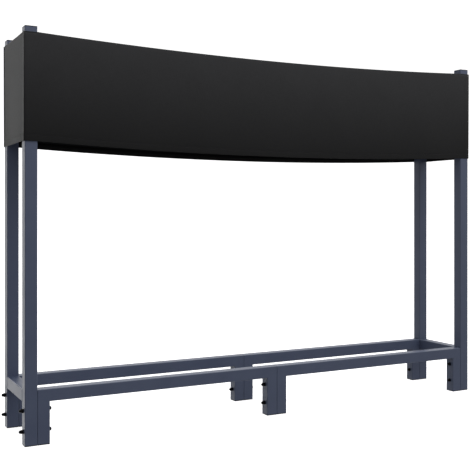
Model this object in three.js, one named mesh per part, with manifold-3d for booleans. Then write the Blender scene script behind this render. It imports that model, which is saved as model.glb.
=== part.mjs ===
// Firewood log rack: two welded side frames and four welded base frames of square steel tube, held
// together by screws and cap nuts through doubled legs, with a fabric rain cover over the top.
// Millimetres. X runs along the rack, Y from front to back, Z up from the floor under the middle.
import * as THREE from 'three';
import { mergeVertices } from 'three/addons/utils/BufferGeometryUtils.js';
import Module from 'manifold-3d';

// ---- Driving dimensions ----
const LENGTH = 2070; // over the end posts
const DEPTH = 335; // over the front and rear posts
const HEIGHT = 1497; // floor to the top of the post tubes
const RAIL_TOP = 199; // height of the face that the logs lie on

// Square tube
const TUBE = 45; // outside width
const WALL = 1.2; // thickness of the sheet
const CORNER_RADIUS = 2.5; // outside radius along the edges
const WELD_GAP = 0.3; // slit left at each welded joint
const FACE_GAP = 0.3; // slit between the two legs of a doubled leg

// Feet: push-in plugs under every leg
const FOOT_THICKNESS = 3; // flange that the rack stands on
const PLUG_LENGTH = 18; // part of the plug inside the tube
const PLUG_WALL = 2;
const PLUG_CLEARANCE = 0.35; // between plug and tube on every side
const SEAT_GAP = 0.3; // between faces that press on each other

// M8 screws with washers, and domed cap nuts
const SCREW_DIAMETER = 8;
const HOLE_CLEARANCE = 1; // wider than the screw, through each tube wall
const SCREW_LOW = 50; // height of the lower screw
const SCREW_BELOW_RAIL = 29; // from the rail's underside down to the upper screw
const HEAD_DIAMETER = 13;
const HEAD_HEIGHT = 8;
const SOCKET_ACROSS = 6; // hexagon key socket in the head
const SOCKET_DEPTH = 4;
const WASHER_DIAMETER = 16;
const WASHER_THICKNESS = 1.6;
const NUT_ACROSS = 13; // across the flats
const NUT_HEX_HEIGHT = 6.5;
const NUT_HEIGHT = 15;
const DOME_DIAMETER = 12.5;
const THREAD_CLEARANCE = 0.7; // the nut's blind bore is this much wider than the screw
const THREAD_ENGAGEMENT = 9; // screw inside the nut
const BORE_END_CLEARANCE = 2; // between the screw's end and the end of the bore

// Cover
const COVER_WALL = 2;
const COVER_GAP = 1.5; // between the posts and the skirt, all round
const COVER_DROP = 18; // from the post tubes' tops down to the cover's top
const SKIRT = 390; // height of the skirt
const SAG = 25; // how far the long panels hang down at mid length
const SAG_STEPS = 14; // straight stretches that stand for the curve of the sag
const NOTCH_CLEARANCE = 3; // round each post where it comes through the top

// ---- Sizes that follow ----
const screwHeights = { lower: SCREW_LOW, upper: RAIL_TOP - TUBE - SCREW_BELOW_RAIL };
const bore = TUBE - 2 * WALL;
const tubeBottom = FOOT_THICKNESS + SEAT_GAP;
const crossbarLength = DEPTH - 2 * TUBE - 2 * WELD_GAP;
const baseLength = LENGTH / 2 - TUBE - 1.5 * FACE_GAP;
const mitreGap = WELD_GAP * Math.SQRT2;
const coverTop = HEIGHT - COVER_DROP;
const upperCrossbarTop = coverTop - COVER_WALL - SEAT_GAP;
const coverHalfLength = LENGTH / 2 + COVER_GAP + COVER_WALL;
const coverHalfDepth = DEPTH / 2 + COVER_GAP + COVER_WALL;
const sagHalfLength = LENGTH / 2 - TUBE;

const wasm = await Module();
wasm.setup();

// ---- Solids ----
function toSolid(geometry) {
  const bare = geometry.clone();
  bare.deleteAttribute('normal');
  bare.deleteAttribute('uv');
  const merged = mergeVertices(bare, 1e-4);
  return new wasm.Manifold(new wasm.Mesh({
    numProp: 3,
    vertProperties: new Float32Array(merged.attributes.position.array),
    triVerts: new Uint32Array(merged.index.array),
  }));
}

function toGeometry(solid) {
  const mesh = solid.getMesh();
  const indexed = new THREE.BufferGeometry();
  indexed.setAttribute('position', new THREE.BufferAttribute(mesh.vertProperties, 3));
  indexed.setIndex(new THREE.BufferAttribute(mesh.triVerts, 1));
  const geometry = indexed.toNonIndexed();
  geometry.computeVertexNormals();
  return geometry;
}

function cylinderAlongX(diameter, length) {
  return new THREE.CylinderGeometry(diameter / 2, diameter / 2, length, 12).rotateZ(Math.PI / 2);
}

function cylinderAlongZ(diameter, bottom, top, sides = 12) {
  const cylinder = new THREE.CylinderGeometry(diameter / 2, diameter / 2, top - bottom, sides);
  return cylinder.rotateX(Math.PI / 2).translate(0, 0, (bottom + top) / 2);
}

function hexagonAlongZ(acrossFlats, bottom, top) {
  return cylinderAlongZ(acrossFlats / Math.cos(Math.PI / 6), bottom, top, 6);
}

function box(xLow, xHigh, yLow, yHigh, zLow, zHigh) {
  const block = new THREE.BoxGeometry(xHigh - xLow, yHigh - yLow, zHigh - zLow);
  return block.translate((xLow + xHigh) / 2, (yLow + yHigh) / 2, (zLow + zHigh) / 2);
}

function squareOutline(width, radius) {
  const flat = width / 2 - radius;
  const shape = new THREE.Shape();
  for (let corner = 0; corner < 4; corner += 1) {
    const start = corner * Math.PI / 2;
    const x = corner === 0 || corner === 3 ? flat : -flat;
    const y = corner < 2 ? flat : -flat;
    shape.absarc(x, y, radius, start, start + Math.PI / 2);
  }
  shape.closePath();
  return shape;
}

function squareHole(width) {
  const half = width / 2;
  const corners = [[-half, -half], [-half, half], [half, half], [half, -half]];
  return new THREE.Path(corners.map(([x, y]) => new THREE.Vector2(x, y)));
}

// A square tube along +Z from 0 to length. A mitred end is cut at 45 degrees, so that the tube gets
// shorter towards its +X side.
function squareTube(length, mitreStart = false, mitreEnd = false) {
  const outline = squareOutline(TUBE, CORNER_RADIUS);
  outline.holes.push(squareHole(bore));
  const tube = new THREE.ExtrudeGeometry(outline, { depth: length, bevelEnabled: false, curveSegments: 1 });
  const points = tube.attributes.position;
  for (let i = 0; i < points.count; i += 1) {
    const slant = points.getX(i) + TUBE / 2;
    const atStart = points.getZ(i) < length / 2;
    if (atStart && mitreStart) points.setZ(i, slant);
    if (!atStart && mitreEnd) points.setZ(i, length - slant);
  }
  return tube;
}

// An upright tube with the screw holes of a doubled leg. It starts just above its foot.
function upright(topHeight, mitred) {
  let solid = toSolid(squareTube(topHeight - tubeBottom, false, mitred));
  for (const height of Object.values(screwHeights)) {
    const drill = cylinderAlongX(SCREW_DIAMETER + HOLE_CLEARANCE, 2 * TUBE);
    drill.translate(0, 0, height - tubeBottom);
    solid = solid.subtract(toSolid(drill));
  }
  return toGeometry(solid);
}

// Flange and hollow plug, open at the top, standing on z = 0.
function footPlug() {
  const flange = new THREE.ExtrudeGeometry(
    squareOutline(TUBE, CORNER_RADIUS),
    { depth: FOOT_THICKNESS, bevelEnabled: false, curveSegments: 1 },
  );
  const outer = bore - 2 * PLUG_CLEARANCE;
  const inner = outer - 2 * PLUG_WALL;
  const top = FOOT_THICKNESS + PLUG_LENGTH;
  const plug = toSolid(box(-outer / 2, outer / 2, -outer / 2, outer / 2, FOOT_THICKNESS / 2, top));
  const hollow = toSolid(box(-inner / 2, inner / 2, -inner / 2, inner / 2, FOOT_THICKNESS, top + 1));
  return toGeometry(toSolid(flange).add(plug).subtract(hollow));
}

// Socket head screw with its washer. z = 0 is the washer's face on the tube, the shank runs to -Z.
function screw() {
  const headTop = WASHER_THICKNESS + HEAD_HEIGHT;
  const grip = 2 * TUBE + FACE_GAP + 2 * SEAT_GAP;
  const end = grip + WASHER_THICKNESS + THREAD_ENGAGEMENT;
  const washer = toSolid(cylinderAlongZ(WASHER_DIAMETER, 0, WASHER_THICKNESS));
  const head = toSolid(cylinderAlongZ(HEAD_DIAMETER, WASHER_THICKNESS / 2, headTop));
  const shank = toSolid(cylinderAlongZ(SCREW_DIAMETER, -end, WASHER_THICKNESS / 2));
  const socket = toSolid(hexagonAlongZ(SOCKET_ACROSS, headTop - SOCKET_DEPTH, headTop + 1));
  return toGeometry(washer.add(head).add(shank).subtract(socket));
}

// Cap nut with its washer. z = 0 is the washer's face on the tube, the dome points to +Z.
function capNut() {
  const hexTop = WASHER_THICKNESS + NUT_HEX_HEIGHT;
  const domeBase = hexTop - 1;
  const domeTop = WASHER_THICKNESS + NUT_HEIGHT;
  const radius = DOME_DIAMETER / 2;
  const profile = [new THREE.Vector2(0, domeBase), new THREE.Vector2(radius, domeBase)];
  const rings = 3;
  for (let ring = 0; ring < rings; ring += 1) {
    const angle = ring / rings * Math.PI / 2;
    const rise = domeTop - radius - hexTop;
    const height = hexTop + rise + radius * Math.sin(angle);
    profile.push(new THREE.Vector2(radius * Math.cos(angle), height));
  }
  profile.push(new THREE.Vector2(0, domeTop));
  const dome = new THREE.LatheGeometry(profile, 12).rotateX(Math.PI / 2);
  const washer = toSolid(cylinderAlongZ(WASHER_DIAMETER, 0, WASHER_THICKNESS));
  const hexagon = toSolid(hexagonAlongZ(NUT_ACROSS, WASHER_THICKNESS / 2, hexTop));
  const boreTop = WASHER_THICKNESS + THREAD_ENGAGEMENT + BORE_END_CLEARANCE;
  const blindBore = toSolid(cylinderAlongZ(SCREW_DIAMETER + THREAD_CLEARANCE, -1, boreTop));
  return toGeometry(washer.add(hexagon).add(toSolid(dome)).subtract(blindBore));
}

// How far the long panels hang down: nothing over the crossbars, a parabola between them.
function sagAt(x) {
  return Math.max(0, SAG * (1 - (x / sagHalfLength) ** 2));
}

// Length positions of the sections of the long panels: both ends, and equal steps over the sag.
function sectionX(index) {
  if (index === 0) return -coverHalfLength;
  if (index === SAG_STEPS + 2) return coverHalfLength;
  return sagHalfLength * (2 * (index - 1) / SAG_STEPS - 1);
}

// Front skirt, top and rear skirt in one length of fabric, with a corner notch for each post.
function coverMainPanel() {
  const outer = coverHalfDepth;
  const inner = coverHalfDepth - COVER_WALL;
  const hem = coverTop - SKIRT;
  const outline = [
    [-outer, hem], [-inner, hem], [-inner, coverTop - COVER_WALL], [inner, coverTop - COVER_WALL],
    [inner, hem], [outer, hem], [outer, coverTop], [-outer, coverTop],
  ];
  const section = new THREE.Shape(outline.map(([y, z]) => new THREE.Vector2(y, z)));
  const panel = new THREE.ExtrudeGeometry(
    section,
    { depth: SAG_STEPS + 2, steps: SAG_STEPS + 2, bevelEnabled: false },
  );
  const turn = new THREE.Matrix4().makeBasis(
    new THREE.Vector3(0, 1, 0),
    new THREE.Vector3(0, 0, 1),
    new THREE.Vector3(1, 0, 0),
  );
  panel.applyMatrix4(turn);
  const points = panel.attributes.position;
  for (let i = 0; i < points.count; i += 1) {
    const x = sectionX(Math.round(points.getX(i)));
    points.setX(i, x);
    points.setZ(i, points.getZ(i) - sagAt(x));
  }
  let solid = toSolid(panel);
  const xInner = LENGTH / 2 - TUBE - NOTCH_CLEARANCE;
  const yInner = DEPTH / 2 - TUBE - NOTCH_CLEARANCE;
  const below = coverTop - COVER_WALL - sagAt(xInner) - 1;
  const notch = toSolid(box(xInner, coverHalfLength + 1, yInner, inner, below, coverTop + 1));
  for (const [x, y] of [[1, 1], [1, -1], [-1, 1], [-1, -1]]) {
    const size = new THREE.Matrix4().makeScale(x, y, 1);
    solid = solid.subtract(notch.transform(size.elements));
  }
  return toGeometry(solid);
}

// Flat panel between the two skirts, under the end of the top. Its outer face is at x = 0.
function coverEndPanel() {
  const half = coverHalfDepth - COVER_WALL - SEAT_GAP;
  const top = coverTop - COVER_WALL - SEAT_GAP;
  return box(-COVER_WALL, 0, -half, half, coverTop - SKIRT, top);
}

// ---- Assembly ----
const paint = () => new THREE.MeshStandardMaterial({ color: 0x3b4150, roughness: 0.55, metalness: 0.3 });
const blackSteel = () => new THREE.MeshStandardMaterial({ color: 0x141416, roughness: 0.4, metalness: 0.8 });
const plastic = () => new THREE.MeshStandardMaterial({ color: 0x17181a, roughness: 0.6, metalness: 0 });
const fabric = () => new THREE.MeshStandardMaterial({ color: 0x1b1b1d, roughness: 0.85, metalness: 0 });

function named(name, geometry, material) {
  const mesh = new THREE.Mesh(geometry, material);
  mesh.name = name;
  return mesh;
}

const rows = [['front', -1], ['rear', 1]];
const ends = [['left', -1], ['right', 1]];
const rowY = (side) => side * (DEPTH - TUBE) / 2;
const postX = (side) => side * (LENGTH - TUBE) / 2;

// A side frame: front and rear posts with a lower and an upper crossbar between them.
function sideFrame(end, side) {
  const frame = new THREE.Group();
  const postGeometry = upright(HEIGHT, false);
  for (const [row, back] of rows) {
    const post = named(`${row}_${end}_post`, postGeometry, paint());
    post.position.set(postX(side), rowY(back), tubeBottom);
    const foot = named(`${row}_${end}_post_foot`, footPlug(), plastic());
    foot.position.set(postX(side), rowY(back), 0);
    frame.add(post, foot);
  }
  const crossbarTops = { lower: RAIL_TOP, upper: upperCrossbarTop };
  for (const [level, top] of Object.entries(crossbarTops)) {
    const crossbar = named(`${end}_${level}_crossbar`, squareTube(crossbarLength), paint());
    crossbar.rotation.x = Math.PI / 2;
    crossbar.position.set(postX(side), crossbarLength / 2, top - TUBE / 2);
    frame.add(crossbar);
  }
  return frame;
}

// A base frame: half a rail with a mitred leg under each end. It is drawn as the left-hand one, and
// the right-hand one is the same frame turned round.
function baseFrame(row, end) {
  const frame = new THREE.Group();
  const outerX = -LENGTH / 2 + TUBE + FACE_GAP;
  const rail = named(`${row}_${end}_rail`, squareTube(baseLength, true, true), paint());
  rail.rotation.y = Math.PI / 2;
  rail.position.set(outerX, 0, RAIL_TOP - TUBE / 2);
  frame.add(rail);
  const legGeometry = upright(RAIL_TOP - mitreGap, true);
  const legs = [['outer', outerX + TUBE / 2, 0], ['inner', outerX + baseLength - TUBE / 2, Math.PI]];
  for (const [place, x, turn] of legs) {
    const leg = named(`${row}_${end}_${place}_leg`, legGeometry, paint());
    leg.position.set(x, 0, tubeBottom);
    leg.rotation.z = turn;
    const foot = named(`${row}_${end}_${place}_leg_foot`, footPlug(), plastic());
    foot.position.set(x, 0, 0);
    frame.add(leg, foot);
  }
  return frame;
}

// The two screws of one doubled leg. towards is +1 where the nuts face +X and -1 where they face -X.
function screwPair(row, place, jointX, y, towards) {
  const pair = new THREE.Group();
  const faceX = TUBE + FACE_GAP / 2 + SEAT_GAP;
  for (const [level, height] of Object.entries(screwHeights)) {
    const bolt = named(`${row}_${place}_${level}_screw`, screw(), blackSteel());
    bolt.position.set(jointX - towards * faceX, y, height);
    bolt.rotation.y = -towards * Math.PI / 2;
    const nut = named(`${row}_${place}_${level}_cap_nut`, capNut(), blackSteel());
    nut.position.set(jointX + towards * faceX, y, height);
    nut.rotation.y = towards * Math.PI / 2;
    pair.add(bolt, nut);
  }
  return pair;
}

const rack = new THREE.Group();
for (const [end, side] of ends) rack.add(sideFrame(end, side));

const doubledLegX = LENGTH / 2 - TUBE - FACE_GAP / 2;
for (const [row, back] of rows) {
  for (const [end, side] of ends) {
    const base = baseFrame(row, end);
    base.position.y = rowY(back);
    base.rotation.z = side > 0 ? Math.PI : 0;
    rack.add(base);
  }
  rack.add(screwPair(row, 'left', -doubledLegX, rowY(back), -1));
  rack.add(screwPair(row, 'middle', 0, rowY(back), -1));
  rack.add(screwPair(row, 'right', doubledLegX, rowY(back), 1));
}

const cover = new THREE.Group();
cover.add(named('cover_main_panel', coverMainPanel(), fabric()));
for (const [end, side] of ends) {
  const panel = named(`cover_${end}_end`, coverEndPanel(), fabric());
  panel.position.x = side * coverHalfLength;
  panel.rotation.z = side > 0 ? 0 : Math.PI;
  cover.add(panel);
}
rack.add(cover);

export default rack;
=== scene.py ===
"""Firewood log rack: powder-coated square tube, black socket screws with domed nuts, plastic plugs and
caps, and a fabric rain cover, on a pale studio floor. Metres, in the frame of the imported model: +X along the
rack, +Y from front to back, +Z up. Sizes without a name of their own come from the frame's boxes."""
import math

import bpy
import numpy as np
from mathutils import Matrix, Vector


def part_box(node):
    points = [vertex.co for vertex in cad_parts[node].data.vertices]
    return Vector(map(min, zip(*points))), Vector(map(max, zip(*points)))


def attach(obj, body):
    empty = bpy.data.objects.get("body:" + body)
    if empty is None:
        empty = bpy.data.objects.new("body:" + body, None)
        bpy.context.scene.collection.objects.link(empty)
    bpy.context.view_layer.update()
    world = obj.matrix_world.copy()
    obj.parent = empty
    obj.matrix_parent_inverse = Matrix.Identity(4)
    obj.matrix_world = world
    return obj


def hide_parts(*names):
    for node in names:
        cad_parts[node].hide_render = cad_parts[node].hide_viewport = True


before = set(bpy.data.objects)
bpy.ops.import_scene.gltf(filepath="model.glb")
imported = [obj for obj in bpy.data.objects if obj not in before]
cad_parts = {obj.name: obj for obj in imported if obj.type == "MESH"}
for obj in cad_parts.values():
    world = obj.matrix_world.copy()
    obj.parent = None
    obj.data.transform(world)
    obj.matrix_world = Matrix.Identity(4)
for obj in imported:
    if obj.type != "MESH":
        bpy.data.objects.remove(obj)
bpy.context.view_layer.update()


def box(node_name):
    """Lower and upper corner of a CAD node's box, as arrays."""
    return np.array([list(corner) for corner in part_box(node_name)])


MM = 0.001
ROWS = ("front", "rear")
ENDS = ("left", "right")

# ---- Sizes ----
WALL = 1.2 * MM  # sheet of the square tube
BORE_MARGIN = 0.6 * MM  # flat strip beside each rounded corner of the bore
TUBE_RADIUS = 2.5 * MM  # outside radius along the tube's edges
BURR = 0.25 * MM  # chamfer left where a tube end was deburred
WELD_RADIUS = 2.4 * MM  # fillet bead round a crossbar's end
WELD_INSET = 0.6 * MM  # how deep the middle of that bead lies under the tube's face
SEAM_RADIUS = 1.5 * MM  # dressed bead along a mitre
SEAM_INSET = 1.1 * MM
RIPPLE_PITCH = 2.1 * MM  # one droplet of the weld
CAP_HEIGHT = 3 * MM
CAP_CROWN = 0.5 * MM
PLUG_WALL = 2 * MM
INSERT_GAP = 0.35 * MM  # between an insert and the bore it is pushed into
INSERT_DEPTH = 16 * MM  # of a post cap's insert
LAMELLA_REACH = 1.4 * MM  # from an insert's core outwards
LAMELLA_TILT = 0.9 * MM
LAMELLAE = 3
SCREW_RADIUS = 4 * MM
HOLE_RADIUS = 4.5 * MM
DRILL_OVERRUN = 50 * MM  # how far the cutter for the holes reaches past the tube
THREAD_PITCH = 1.25 * MM
THREAD_DEPTH = 0.6 * MM
THREAD_LENGTH = 22 * MM
WASHER_THICKNESS = 1.6 * MM
WASHER_RADIUS = 8 * MM
WASHER_BORE = 4.2 * MM  # radius of its hole
HEAD_RADIUS = 6.5 * MM
HEAD_HEIGHT = 8 * MM
KNURLS = 32  # round a screw's head
KEY_FLATS = 6 * MM  # hexagon socket, across its flats
KEY_DEPTH = 4 * MM
NUT_FLATS = 13 * MM  # across its flats
NUT_HEX_HEIGHT = 6.5 * MM
NUT_HEIGHT = 15 * MM
DOME_RADIUS = 6.25 * MM
FABRIC = 0.5 * MM
FOLD_RADIUS = 2 * MM  # of the cover's folds and corners
HEM_ALLOWANCE = 25 * MM  # fabric turned up inside the hem
HEM_FOLD = 0.75 * MM  # radius of the fold at the hem's edge
HEM_DROP_RIGHT = 5 * MM  # how much lower the hem hangs at the right-hand end
PIPING_RADIUS = 1.3 * MM  # bound edge of the openings for the posts
SEAM_WIDTH = 9 * MM  # felled seams down the corners of the end panels
SEAM_THICKNESS = 0.5 * MM
HEM_SEAM = 21.5 * MM  # height of the hem's twin row of stitches
TWIN_GAP = 4 * MM
BESIDE_EDGE = 2.5 * MM  # from a felled seam's edge in to its stitches
BESIDE_OPENING = 5 * MM  # from a post's opening to its stitches
STITCH_PITCH = 4.2 * MM
STITCH_LENGTH = 3.3 * MM
STITCH_RADIUS = 0.4 * MM
COVER_LOW, COVER_HIGH = box("cover_main_panel")
HALF_LENGTH, HALF_DEPTH, COVER_TOP = COVER_HIGH
END_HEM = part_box("cover_left_end")[0].z
SKIRT = COVER_TOP - END_HEM
SAG = END_HEM - COVER_LOW[2]


# ---- Mesh helpers ----
def new_piece(name, points, quads, triangles=(), smooth_angle=35):
    """A mesh object from arrays of points, four-sided and three-sided faces, smooth but for edges sharper
    than smooth_angle degrees."""
    quads = np.asarray(quads, np.int32).reshape(-1, 4)
    triangles = np.asarray(triangles, np.int32).reshape(-1, 3)
    corners = np.concatenate([quads.ravel(), triangles.ravel()])
    sizes = np.concatenate([np.full(len(quads), 4), np.full(len(triangles), 3)])
    mesh = bpy.data.meshes.new(name)
    mesh.vertices.add(len(points))
    mesh.loops.add(len(corners))
    mesh.polygons.add(len(sizes))
    mesh.vertices.foreach_set("co", np.asarray(points, np.float32).ravel())
    mesh.loops.foreach_set("vertex_index", corners)
    mesh.polygons.foreach_set("loop_start", np.concatenate([[0], np.cumsum(sizes)[:-1]]).astype(np.int32))
    mesh.update(calc_edges=True)
    mesh.polygons.foreach_set("use_smooth", np.ones(len(sizes), bool))
    mesh.set_sharp_from_angle(angle=math.radians(smooth_angle))
    piece = bpy.data.objects.new(name, mesh)
    bpy.context.scene.collection.objects.link(piece)
    return piece


def grid_quads(rows, columns, close_rows=False, close_columns=False):
    """Faces of a grid of rows x columns points, numbered along the columns first. Row upwards and column to
    the right give a face towards the viewer."""
    row = np.arange(rows if close_rows else rows - 1)[:, None]
    column = np.arange(columns if close_columns else columns - 1)[None, :]
    next_row = (row + 1) % rows
    next_column = (column + 1) % columns
    corners = [row * columns + column, row * columns + next_column,
               next_row * columns + next_column, next_row * columns + column]
    return np.stack(corners, axis=-1).reshape(-1, 4)


def closed_shell(name, rings):
    """A closed surface from rings of points (rings x columns x 3). Its first and last rings end in a pole."""
    count, columns = rings.shape[:2]
    points = np.concatenate([rings.reshape(-1, 3), rings[:1].mean(axis=1), rings[-1:].mean(axis=1)])
    column = np.arange(columns)
    following = (column + 1) % columns
    start = np.stack([np.full(columns, count * columns), following, column], axis=-1)
    last = (count - 1) * columns
    end = np.stack([np.full(columns, count * columns + 1), last + column, last + following], axis=-1)
    quads = grid_quads(count, columns, close_columns=True)
    return new_piece(name, points, quads, np.concatenate([start, end]))


def add_attribute(piece, name, values):
    attribute = piece.data.attributes.new(name, "FLOAT", "POINT")
    attribute.data.foreach_set("value", np.asarray(values, np.float32))


def finished(piece, material, body, slot, *replaced):
    """Gives a piece its material, its body and the CAD nodes that it stands for. slot is not used."""
    piece.data.materials.append(material)
    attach(piece, body)
    if replaced:
        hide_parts(*replaced)
    return piece


# ---- Node helpers ----
def linear(code):
    """An sRGB colour as #rrggbb, as linear red, green, blue and alpha."""
    parts = [int(code[i:i + 2], 16) / 255 for i in (1, 3, 5)]
    return tuple(c / 12.92 if c <= 0.04045 else ((c + 0.055) / 1.055) ** 2.4 for c in parts) + (1.0,)


def node(tree, kind, inputs=None, **settings):
    """Adds a shader node with its settings. inputs gives a socket's value, or the output linked to it."""
    made = tree.nodes.new("ShaderNode" + kind)
    for key, value in settings.items():
        setattr(made, key, value)
    for key, value in (inputs or {}).items():
        if isinstance(value, bpy.types.NodeSocket):
            tree.links.new(value, made.inputs[key])
        else:
            made.inputs[key].default_value = value
    return made


def new_material(name):
    material = bpy.data.materials.new(name)
    material.use_nodes = True
    material.node_tree.nodes.clear()
    return material, material.node_tree


def surface(tree, **inputs):
    """The Principled shader and the output. Underscores in the names stand for the spaces of the sockets."""
    shader = node(tree, "BsdfPrincipled", {key.replace("_", " "): value for key, value in inputs.items()})
    node(tree, "OutputMaterial", {"Surface": shader.outputs["BSDF"]})


def speckle(tree, size, detail=2.0, vector=None):
    """Noise whose grains are about size across, in metres, on Object coordinates or on another vector."""
    place = vector or node(tree, "TexCoord").outputs["Object"]
    settings = {"Vector": place, "Scale": 1 / size, "Detail": detail, "Roughness": 0.5}
    return node(tree, "TexNoise", settings).outputs["Fac"]


def spread(tree, value, low, high, start=0.3, stop=0.7):
    """A value from start to stop spread over low to high."""
    settings = {"Value": value, "From Min": start, "From Max": stop, "To Min": low, "To Max": high}
    return node(tree, "MapRange", settings).outputs["Result"]


def blend(tree, share, low, high):
    """A colour between two, by share."""
    mixed = node(tree, "Mix", {"Factor": share, 6: low, 7: high}, data_type="RGBA")
    return mixed.outputs[2]


# ---- Materials ----
def powder_coat():
    """Polyester powder coat, anthracite, stoved on steel tube: satin, with the shallow orange peel of melted
    powder, 2 mm across, and a slightly thinner, paler film along the edges of the tube."""
    material, tree = new_material("anthracite_powder_coat")
    peel = speckle(tree, 2 * MM, detail=1)
    grain = speckle(tree, 0.5 * MM, detail=1)
    clouds = speckle(tree, 90 * MM, detail=3)
    edge = node(tree, "Attribute", attribute_name="edge").outputs["Fac"]
    tint = blend(tree, spread(tree, clouds, 0, 1), linear("#505971"), linear("#545d75"))
    tint = blend(tree, spread(tree, edge, 0, 0.12, 0, 1), tint, linear("#5d6679"))
    fine = node(tree, "Bump", {"Height": grain, "Strength": 0.25, "Distance": 0.02 * MM})
    bump = node(tree, "Bump", {"Height": peel, "Strength": 0.35, "Distance": 0.05 * MM,
                               "Normal": fine.outputs["Normal"]})
    surface(tree, Base_Color=tint, Roughness=spread(tree, clouds, 0.40, 0.46), Normal=bump.outputs["Normal"],
            Metallic=0.0, IOR=1.5)
    return material


def black_zinc():
    """Black zinc plating on cold-formed steel: nearly black, with the mottle of the passivation bath."""
    material, tree = new_material("black_zinc_plated_steel")
    mottle = speckle(tree, 3 * MM, detail=3)
    grain = speckle(tree, 0.3 * MM, detail=1)
    tint = blend(tree, spread(tree, mottle, 0, 1), linear("#101013"), linear("#1a1a1e"))
    bump = node(tree, "Bump", {"Height": grain, "Strength": 0.2, "Distance": 0.02 * MM})
    surface(tree, Base_Color=tint, Roughness=spread(tree, mottle, 0.34, 0.46), Normal=bump.outputs["Normal"],
            Metallic=0.85)
    return material


def moulded_plastic():
    """Injection-moulded black polyethylene: waxy and matt, with the fine spark-eroded grain of the mould."""
    material, tree = new_material("moulded_black_polyethylene")
    grain = speckle(tree, 0.6 * MM, detail=2)
    clouds = speckle(tree, 12 * MM, detail=2)
    tint = blend(tree, spread(tree, clouds, 0, 1), linear("#15171a"), linear("#1c1e22"))
    bump = node(tree, "Bump", {"Height": grain, "Strength": 0.3, "Distance": 0.04 * MM})
    surface(tree, Base_Color=tint, Roughness=spread(tree, grain, 0.48, 0.58), Normal=bump.outputs["Normal"],
            IOR=1.51)
    return material


def woven(name, hem, top, roughness, sheen, pitch):
    """Plain weave on the UV map, in metres. Its colour runs from hem, at the hem, to top, at the fold: painted
    shade darkens it towards the hem and painted light brightens it towards the fold. Threads cross every
    pitch:
    where sin(u) and sin(v) have the same sign the warp lies on top, else the weft, so their product is the
    height. Slubs are noise drawn out along each thread. Real threads lie 0.5 mm apart, and are drawn coarser
    so that they show."""
    material, tree = new_material(name)
    place = node(tree, "UVMap", uv_map="weave").outputs["UV"]
    scaled = node(tree, "VectorMath", {0: place, 1: (math.pi / pitch,) * 3}, operation="MULTIPLY")
    axes = node(tree, "SeparateXYZ", {0: scaled.outputs[0]})
    warp = node(tree, "Math", {0: axes.outputs["X"]}, operation="SINE").outputs[0]
    weft = node(tree, "Math", {0: axes.outputs["Y"]}, operation="SINE").outputs[0]
    cross = node(tree, "Math", {0: warp, 1: weft}, operation="MULTIPLY").outputs[0]
    slubs = []
    for stretch in ((0.05, 1, 1), (1, 0.05, 1)):
        drawn_out = node(tree, "Mapping", {"Vector": place, "Scale": stretch}).outputs[0]
        slubs.append(speckle(tree, pitch, 1, drawn_out))
    on_top = spread(tree, cross, 0, 1, -0.2, 0.2)
    slub = node(tree, "Mix", {"Factor": on_top, 2: slubs[0], 3: slubs[1]}).outputs[0]
    clouds = speckle(tree, 130 * MM, detail=3)
    darker = {0: spread(tree, slub, 0, 0.7), 1: spread(tree, clouds, 0, 0.3)}
    shade = node(tree, "Math", darker, operation="ADD")
    # Painted light and shade: darker at the hem and lighter towards the fold, by height up the skirt; the top
    # takes the top colour throughout
    above_hem = node(tree, "SeparateXYZ", {0: place}).outputs["Y"]
    painted_light_and_shade = blend(tree, spread(tree, above_hem, 0, 1, 0, SKIRT), linear(hem), linear(top))
    tint = blend(tree, spread(tree, shade.outputs[0], 0, 0.25, 0, 1), painted_light_and_shade, linear("#000000"))
    bump = node(tree, "Bump", {"Height": cross, "Strength": 0.35, "Distance": 0.12 * MM})
    surface(tree, Base_Color=tint, Roughness=spread(tree, slub, roughness - 0.04, roughness + 0.04),
            Normal=bump.outputs["Normal"], Sheen_Weight=sheen, Sheen_Roughness=0.5, IOR=1.27)
    return material


def thread():
    """Bonded black polyester sewing thread: a dull lustre, twisted in the stitch."""
    material, tree = new_material("black_polyester_thread")
    fibre = speckle(tree, 0.4 * MM, detail=1)
    tint = blend(tree, spread(tree, fibre, 0, 1), linear("#141416"), linear("#232327"))
    bump = node(tree, "Bump", {"Height": fibre, "Strength": 0.4, "Distance": 0.05 * MM})
    surface(tree, Base_Color=tint, Roughness=0.5, Normal=bump.outputs["Normal"])
    return material


PAINT = powder_coat()
STEEL = black_zinc()
PLASTIC = moulded_plastic()
# After each name come the colour with painted shade at the hem and the colour with painted light at the fold
CANVAS = woven("coated_polyester_canvas", "#171718", "#38383a", 0.62, 0.04, 1.4 * MM)
COATING = woven("polyurethane_coated_inside", "#222224", "#2a2a2c", 0.5, 0.0, 1.4 * MM)
THREAD = thread()


# ---- Square outlines ----
def rounded_square(half, radius, steps=6, margin=0.5 * MM):
    """Outline of a square as complex numbers, counter-clockwise. Each corner is a quarter circle about
    (half - radius, half - radius) with a support point just before and after it, and the other corners are
    the same one turned by right angles."""
    angle = np.linspace(0, math.pi / 2, steps + 1)
    middle = half - radius
    arc = middle + radius * np.cos(angle) + 1j * (middle + radius * np.sin(angle))
    corner = np.concatenate([[half + 1j * (middle - margin)], arc, [middle - margin + 1j * half]])
    return np.concatenate([corner * 1j ** turn for turn in range(4)])


def on_edge(steps=6):
    """1 for the points of an outline that lie on a corner's arc, and 0 for its support points."""
    return np.tile(np.concatenate([[0], np.ones(steps + 1), [0]]), 4)


# ---- Tubes ----
def wall_outlines(half):
    """The outlines that make a tube's wall one closed surface: out of the bore, round the deburred rim, along
    the outside, round the other rim and back down the bore."""
    skin = rounded_square(half, TUBE_RADIUS)
    rim = rounded_square(half - BURR, TUBE_RADIUS - BURR)
    hollow = rounded_square(half - WALL, TUBE_RADIUS - WALL, margin=BORE_MARGIN)
    return np.array([hollow, rim, skin, skin, skin, skin, rim, hollow])


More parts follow.
